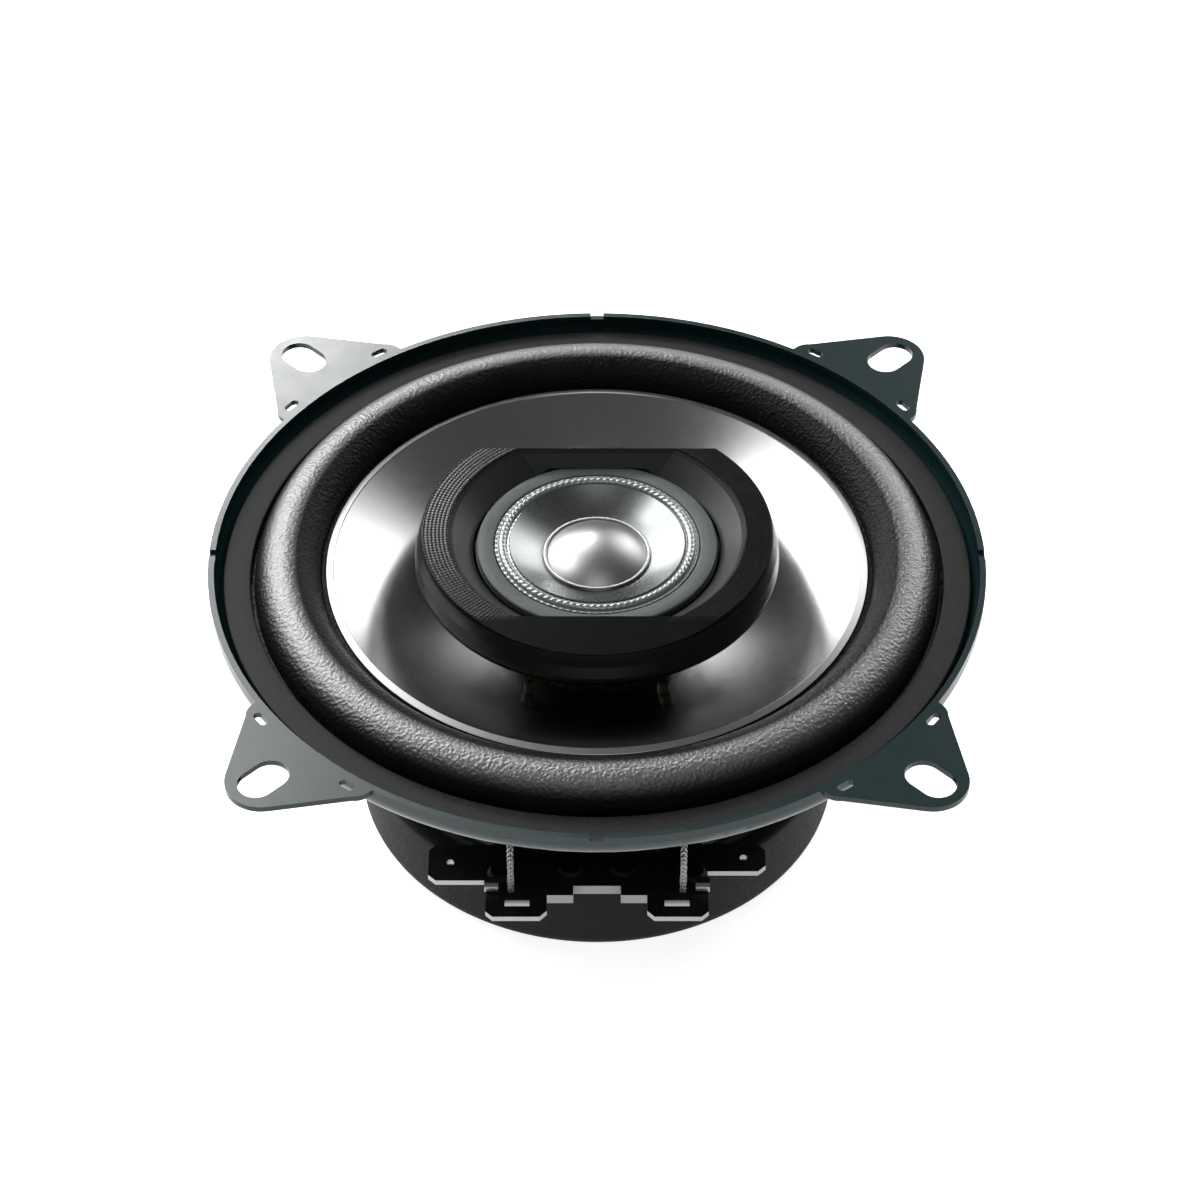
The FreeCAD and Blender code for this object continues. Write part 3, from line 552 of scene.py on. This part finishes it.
def keep_cad(nodes, material, bevel=0.0):
    """CAD nodes keep their shape; they get a material, smooth shading and small rounded edges."""
    for name in nodes:
        piece = NODES[name]
        smooth(piece.data, 30)
        wear_material(piece, material)
        if bevel:
            cut = piece.modifiers.new("edges", "BEVEL")
            cut.width = bevel * MM
            cut.segments = 2
            cut.limit_method = "ANGLE"
            cut.angle_limit = math.radians(40)
            cut.harden_normals = True


def blend_by_radius(piece):
    """A ring whose placement is baked into its mesh; it rides on no body.
    """
    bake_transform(piece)


# ---- woofer; sizes in millimetres ----

def make_surround(material):
    """Half roll with a flat foot under the gasket and another on the cone's edge."""
    thickness = 0.4
    foot_edge = 48.0
    arc_steps = 40
    cone = extent("woofer_cone")
    crest = extent("surround").high
    outer_z = extent("front_gasket").low - 0.2
    inner_z = cone.high - 0.6
    foot_out, foot_in = 44.8, cone.outer + 0.6
    middle = (foot_out + foot_in) / 2
    half = (foot_out - foot_in) / 2
    roll = [(middle + half * math.cos(a), crest - thickness / 2 - half + half * math.sin(a))
            for a in [math.pi * k / arc_steps for k in range(arc_steps + 1)]]
    line = [(foot_edge, outer_z), (foot_out + 0.7, outer_z), (foot_out + 0.15, outer_z + 0.1)] + roll
    line += [(foot_in - 0.1, inner_z - 0.1), (foot_in - 0.4, inner_z - 0.2)]
    line += [(cone.outer - 0.6, inner_z - 0.2)]
    piece = lathe("rubber_surround", thick(line, thickness), None, 320)
    stand_for(piece, "surround", material)
    blend_by_radius(piece)


def make_gasket(material):
    gasket = extent("front_gasket")
    inner = 45.5
    corners = [(inner, gasket.low), (gasket.outer, gasket.low), (gasket.outer, gasket.high),
               (inner, gasket.high)]
    stand_for(lathe("fibre_gasket", rounded(corners, 0.25, 4), "frame", 320), "front_gasket", material)


def cone_height(r, edge, top, neck_r, neck_z):
    """Height of the cone's front face: a gently bowed slope between its neck and its edge."""
    bow = 0.16
    t = (r - neck_r) / (edge - neck_r)
    return neck_z + (top - neck_z) * (t + bow * t * (1 - t))


def make_cone(material):
    """Thin bowed cone with a narrow turned-down edge and a short neck on the coil former."""
    edge, top = extent("woofer_cone").outer, extent("woofer_cone").high
    neck_r, neck_z = 10.75, -13.0
    former_r, neck_foot = 10.2, -15.2
    slope_r = edge - 1.0
    count = 40
    radii = [neck_r + (slope_r - neck_r) * k / count for k in range(count + 1)]
    front = [(r, cone_height(r, slope_r, top - 0.12, neck_r, neck_z)) for r in radii]
    face = [(former_r, -13.5)] + front
    face += [(slope_r + 0.12, top), (edge - 0.05, top - 0.24), (edge, top - 0.28)]
    back = [(edge, top - 0.36), (edge - 0.1, top - 0.42), (slope_r + 0.1, top - 0.44)]
    back += [(r + 0.1, z - 0.4) for r, z in reversed(front)]
    back += [(10.55, -13.85), (10.55, neck_foot), (former_r, neck_foot)]
    stand_for(lathe("silver_cone", face + back, "cone", 320, crisp=12), "woofer_cone", material)


def make_spider(material):
    """Cloth disc with five round waves, from the basket's ledge to a collar on the former."""
    level = -17.0
    waves, wave_height = 5, 0.7
    waves_out, waves_span = 31.2, 18.8
    steps = 120
    line = [(extent("spider").outer - 0.05, level), (31.3, level)]
    for k in range(steps + 1):
        height = wave_height * math.sin(TAU * waves * k / steps)
        line.append((waves_out - waves_span * k / steps, level - height))
    line += [(10.7, level), (10.4, level + 0.3), (10.36, level + 1.6)]
    piece = lathe("cloth_spider", thick(line, 0.35), None, 200)
    stand_for(piece, "spider", material)
    blend_by_radius(piece)


def make_cover(material):
    """Rubber cup with a rounded foot, a soft lip and a shallow ring recessed in its underside."""
    cover = extent("magnet_cover")
    inner = 30.05
    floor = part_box("yoke")[0].z / MM
    corners = [(0, cover.low), (8, cover.low), (8.3, cover.low + 0.25), (24, cover.low + 0.25),
               (24.3, cover.low), (cover.outer, cover.low), (cover.outer, cover.high),
               (inner, cover.high), (inner, floor), (0, floor)]
    radii = [0, 0.1, 0.1, 0.1, 0.1, 1.9, 0.8, 0.4, 0.3, 0]
    stand_for(lathe("rubber_cover", rounded(corners, radii, 8), "frame", 256), "magnet_cover", material)


# ---- tweeter; sizes in millimetres ----

FILM = 0.14           # thickness of the tweeter's cone and dome
CONE_FOOT = 7.0       # radius where the tweeter's cone meets the ring round its dome


def make_tweeter_cone(material):
    """Shallow flared film cone with a small flat foot."""
    cone = extent("tweeter_cone")
    foot_z, start_z = cone.low + 0.28, cone.low + 0.15
    width, height = cone.outer - CONE_FOOT, cone.high - start_z
    steps, flare = 16, 1.25
    line = [(6.62, foot_z), (CONE_FOOT - 0.1, foot_z), (CONE_FOOT, cone.low + 0.2)]
    line += [(CONE_FOOT + width * k / steps, start_z + height * (k / steps) ** flare)
             for k in range(steps + 1)]
    stand_for(lathe("bright_cone", thick(line, FILM), "tweeter_diaphragm", 192), "tweeter_cone", material)


def make_tweeter_dome(material):
    """Film dome, part of a ball, with a small bead round its foot."""
    dome = extent("tweeter_dome")
    rise = dome.high - dome.low - FILM / 2
    ball = (dome.outer ** 2 + rise ** 2) / (2 * rise)
    centre_z = dome.low + rise - ball
    steps = 24
    angles = [math.asin(dome.outer / ball) * k / steps for k in range(steps + 1)]
    line = [(ball * math.sin(a), centre_z + ball * math.cos(a)) for a in angles]
    stand_for(lathe("silver_dome", thick(line, FILM), "tweeter_diaphragm", 192), "tweeter_dome", material)
    bead_top = dome.low + 0.32
    bead = [(dome.outer - 0.05, dome.low), (CONE_FOOT + 0.05, dome.low), (CONE_FOOT + 0.05, bead_top),
            (dome.outer + 0.05, bead_top)]
    ring = lathe("dome_edge_ring", rounded(bead, 0.12, 4), "tweeter_diaphragm", 192)
    wear_material(ring, material)


def make_tweeter_surround(material):
    """Small half roll crossed by fine ribs."""
    surround = extent("tweeter_surround")
    ribs, rib_height, rib_reach = 90, 0.05, 0.9
    middle, half_width, height = 12.4, 0.55, 0.5
    arc_steps = 12
    level = surround.low + 0.1
    line = [(surround.outer, level), (12.95, level)]
    line += [(middle + half_width * math.cos(a), level + height * math.sin(a))
             for a in [math.pi * k / arc_steps for k in range(arc_steps + 1)]]
    line += [(11.7, level), (11.3, level)]

    def ripple(r, z, angle):
        inside = max(0.0, 1 - abs(r - middle) / rib_reach)
        return r, z + rib_height * inside * math.sin(ribs * angle + 5 * (r - middle))

    piece = lathe("ribbed_ring", thick(line, 0.16), None, ribs * 8, ripple)
    stand_for(piece, "tweeter_surround", material)
    blend_by_radius(piece)


def make_tweeter_gasket(material):
    """Soft ring with a sloped outer shoulder."""
    gasket = extent("tweeter_gasket")
    inner = 13.5
    corners = [(inner, gasket.low), (gasket.outer, gasket.low), (gasket.outer, gasket.high - 0.1),
               (gasket.outer - 0.9, gasket.high), (inner, gasket.high - 0.05)]
    stand_for(lathe("soft_ring", rounded(corners, 0.35, 5), "frame", 192), "tweeter_gasket", material)


# ---- braided leads ----

def strand_tube(points, radius):
    """Vertices and faces of a thin tube along points."""
    sides = 6
    verts, faces = [], []
    for i, p in enumerate(points):
        way = (points[min(i + 1, len(points) - 1)] - points[max(i - 1, 0)]).normalized()
        side = way.orthogonal().normalized()
        other = way.cross(side)
        for k in range(sides):
            a = TAU * k / sides
            verts.append(p + (side * math.cos(a) + other * math.sin(a)) * radius)
    for i in range(len(points) - 1):
        for k in range(sides):
            m = (k + 1) % sides
            faces.append((i * sides + k, i * sides + m, (i + 1) * sides + m, (i + 1) * sides + k))
    faces.append(tuple(range(sides))[::-1])
    faces.append(tuple(range((len(points) - 1) * sides, len(points) * sides)))
    return verts, faces


def smooth_route(points, steps):
    """A smooth line through given points (Catmull-Rom)."""
    p = [points[0]] + points + [points[-1]]
    out = []
    for i in range(1, len(p) - 2):
        a, b, c, d = p[i - 1:i + 3]
        for k in range(steps):
            t = k / steps
            out.append(0.5 * (2 * b + (c - a) * t + (2 * a - 5 * b + 4 * c - d) * t ** 2
                              + (3 * b - a - 3 * c + d) * t ** 3))
    out.append(p[-1])
    return out


def run_lengths(route):
    """How far along the route each of its points is."""
    lengths = [0.0]
    for a, b in zip(route, route[1:]):
        lengths.append(lengths[-1] + (b - a).length)
    return lengths


def side_axes(route):
    """Two directions across the route at each point, without twist."""
    axes = []
    side = (route[1] - route[0]).normalized().orthogonal().normalized()
    for i in range(len(route)):
        way = (route[min(i + 1, len(route) - 1)] - route[max(i - 1, 0)]).normalized()
        side = (side - way * side.dot(way)).normalized()
        axes.append((side.copy(), way.cross(side)))
    return axes


def braided(name, route, radius, strands, pitch):
    """Strands wound both ways round a route, in metres, as one mesh."""
    middle, weave, strand = 0.72, 0.08, 0.3
    verts, faces = [], []
    lengths, axes = run_lengths(route), side_axes(route)
    for hand in (1, -1):
        for s in range(strands):
            line = []
            for p, (u, v), run in zip(route, axes, lengths):
                a = hand * TAU * run / pitch + TAU * s / strands
                r = radius * (middle + weave * math.cos(2 * strands * a))
                line.append(p + (u * math.cos(a) + v * math.sin(a)) * r)
            more, shapes = strand_tube(line, radius * strand)
            faces += [tuple(len(verts) + i for i in f) for f in shapes]
            verts += more
    mesh = bpy.data.meshes.new(name)
    mesh.from_pydata(verts, [], faces)
    smooth(mesh, 60)
    return link(name, mesh, None)


def make_leads(material):
    """Two braided leads, each from its eyelet in the cone down to its lug."""
    lug_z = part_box("positive_terminal")[0].z / MM + 0.8
    for side, word in ((-1, "positive"), (1, "negative")):
        points = [(8.6, -16.0, -8.1), (8.7, -16.2, -11.4), (9.4, -20.0, -14.2), (10.2, -26.5, -14.6),
                  (10.8, -33.0, -13.9), (11.0, -37.0, -14.9), (11.0, -38.3, -18.2), (11.0, -38.4, lug_z)]
        route = smooth_route([seen(side * x * MM, y * MM, z * MM) for x, y, z in points], 16)
        piece = braided(f"{word}_braid", route, radius=0.00045, strands=4, pitch=0.0026)
        stand_for(piece, f"{word}_tinsel_lead", material)
        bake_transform(piece)


# ---- all pieces ----

KNURLED_BAND = (0.0193, 0.0232)       # inner and outer radius on top of the bezel, in metres
SURROUND_CREST = 0.0405               # radius of the surround's highest line, in metres


def dress_cad():
    """The CAD nodes whose own shape is shown."""
    bezel_top = extent("tweeter_bezel").high * MM
    keep_cad(["basket"], basket_paint(), 0.28)
    keep_cad(["tweeter_bezel", "tweeter_housing"], housing_black(*KNURLED_BAND, bezel_top), 0.1)
    keep_cad(["basket_rivets", "top_plate", "yoke", "post_screw", "post_washer",
              "tweeter_yoke", "tweeter_pole_plate", "tweeter_magnet"], plated_steel(), 0.08)
    keep_cad(["terminal_rivets"], steel_in_painted_shade(), 0.08)
    keep_cad(["magnet"], ferrite(), 0.1)
    keep_cad(["terminal_board"], board_paper(), 0.05)
    keep_cad(["positive_terminal", "negative_terminal"], terminal_tin(), 0.08)
    keep_cad(["tweeter_post", "tweeter_frame"], moulded_black(), 0.05)
    keep_cad(["voice_coil", "tweeter_voice_coil"], copper_wire())
    keep_cad(["voice_coil_former", "tweeter_coil_former"], foil())
    keep_cad(["lead_eyelets"], brass_in_painted_shade())
    keep_cad(["crossover_capacitor"], sleeve_film())
    keep_cad(["tweeter_leads"], insulation())


def make_all():
    dress_cad()
    braid = tinsel_braid()
    keep_cad(["capacitor_leads"], braid)
    make_surround(surround_rubber(SURROUND_CREST))
    make_gasket(gasket_fibre())
    make_cone(cone_silver(extent("woofer_cone").outer * MM))
    make_spider(spider_cloth())
    make_cover(cover_rubber())
    make_tweeter_cone(bright_foil())
    make_tweeter_dome(dome_silver())
    make_tweeter_surround(ribbed_film())
    make_tweeter_gasket(foam_ring())
    make_leads(braid)


# ---- floor, lights and camera ----

def make_floor():
    """A pale floor that glows a little; it lies just under the cover's foot, not in its plane."""
    low = cad_box[0].z - 0.05 * MM
    size = 3.0
    mesh = bpy.data.meshes.new("floor")
    corners = [(-size, -size, low), (size, -size, low), (size, size, low), (-size, size, low)]
    mesh.from_pydata(corners, [], [(0, 1, 2, 3)])
    floor = bpy.data.objects.new("floor", mesh)
    bpy.context.scene.collection.objects.link(floor)
    n = Nodes("pale_floor")
    tone = n.blend(n.noise(3, detail=2), (0.80, 0.80, 0.80), (0.84, 0.84, 0.84))
    white = (1, 1, 1, 1)
    mesh.materials.append(n.finish(tone, 0.9, specular=0.1, Emission_Color=white, Emission_Strength=0.85))


# Each softbox: name, degrees to the right of the far side, degrees up, degrees wide, radiance.
SOFTBOXES = (
    ("left_wide", -43, 33, 76, 5.5),
    ("left_middle", -35, 27, 34, 5.0),
    ("right_wide", 35, 25, 58, 4.2),
    ("right_middle", 34, 30, 26, 2.0),
    ("left_low", -42, 4, 18, 4.0),
    ("left_back_low", -25, 13, 18, 5.0),
    ("right_back_low", 25, 13, 18, 3.0),
    ("left_high", -72, 52, 26, 9.0),
    ("front_fill", 180, 60, 50, 1.8),
    ("ear_key", -10, 34, 12, 52),
    ("ear_key_high", -17, 47, 14, 14),
)


def falloff(nodes, links, place):
    """1 in the middle of a softbox, 0 at its edges."""
    middle = nodes.new("ShaderNodeVectorMath")
    middle.operation = "DISTANCE"
    middle.inputs[1].default_value = (0.5, 0.5, 0)
    links.new(place, middle.inputs[0])
    fade = nodes.new("ShaderNodeMapRange")
    fade.interpolation_type = "SMOOTHSTEP"
    for key, number in (("From Min", 0.05), ("From Max", 0.5), ("To Min", 1.0), ("To Max", 0.0)):
        fade.inputs[key].default_value = number
    links.new(middle.outputs["Value"], fade.inputs["Value"])
    return fade.outputs["Result"]


def make_softbox(name, azimuth, elevation, width, radiance):
    """A square softbox a metre away, facing the speaker and brightest in its middle."""
    lamp = bpy.data.lights.new(name, "AREA")
    lamp.shape = "SQUARE"
    lamp.size = 2 * math.tan(math.radians(width / 2))
    lamp.energy = radiance * math.pi * lamp.size ** 2
    lamp.use_nodes = True
    nodes, links = lamp.node_tree.nodes, lamp.node_tree.links
    place = nodes.new("ShaderNodeNewGeometry").outputs["Parametric"]
    links.new(falloff(nodes, links, place), nodes["Emission"].inputs["Strength"])
    holder = bpy.data.objects.new(name, lamp)
    bpy.context.scene.collection.objects.link(holder)
    turn, rise = math.radians(azimuth), math.radians(elevation)
    right, away = math.sin(turn) * math.cos(rise), math.cos(turn) * math.cos(rise)
    holder.location = seen(right, away, math.sin(rise))
    holder.rotation_euler = (-holder.location).to_track_quat("-Z", "Y").to_euler()


def make_world():
    """A dark studio with a pale band at the horizon."""
    world = bpy.data.worlds.new("studio")
    world.use_nodes = True
    nodes, links = world.node_tree.nodes, world.node_tree.links
    way = nodes.new("ShaderNodeTexCoord").outputs["Generated"]
    split = nodes.new("ShaderNodeSeparateXYZ")
    links.new(way, split.inputs[0])
    band = nodes.new("ShaderNodeMapRange")
    for key, number in (("From Min", 0.02), ("From Max", 0.2), ("To Min", 0.7), ("To Max", 0.11)):
        band.inputs[key].default_value = number
    links.new(split.outputs["Z"], band.inputs["Value"])
    links.new(band.outputs["Result"], nodes["Background"].inputs["Strength"])
    nodes["Background"].inputs["Color"].default_value = (1, 1, 1, 1)
    bpy.context.scene.world = world


def make_camera():
    """From the terminal side, 42 degrees above the rim."""
    elevation = math.radians(42.26)
    distance = 0.466
    lip = Vector((0, 0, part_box("basket")[1].z))
    lens = bpy.data.cameras.new("camera")
    lens.sensor_width = 36.0
    lens.lens = 106.4
    lens.shift_x = 0.0025
    lens.shift_y = -0.0379
    camera = bpy.data.objects.new("camera", lens)
    bpy.context.scene.collection.objects.link(camera)
    back = seen(0, -math.cos(elevation), math.sin(elevation))
    camera.location = lip + back * distance
    camera.rotation_euler = (-back).to_track_quat("-Z", "Y").to_euler()
    bpy.context.scene.camera = camera


make_all()
make_floor()
make_world()
for softbox in SOFTBOXES:
    make_softbox(*softbox)
make_camera()
bpy.context.scene.view_settings.view_transform = "Standard"
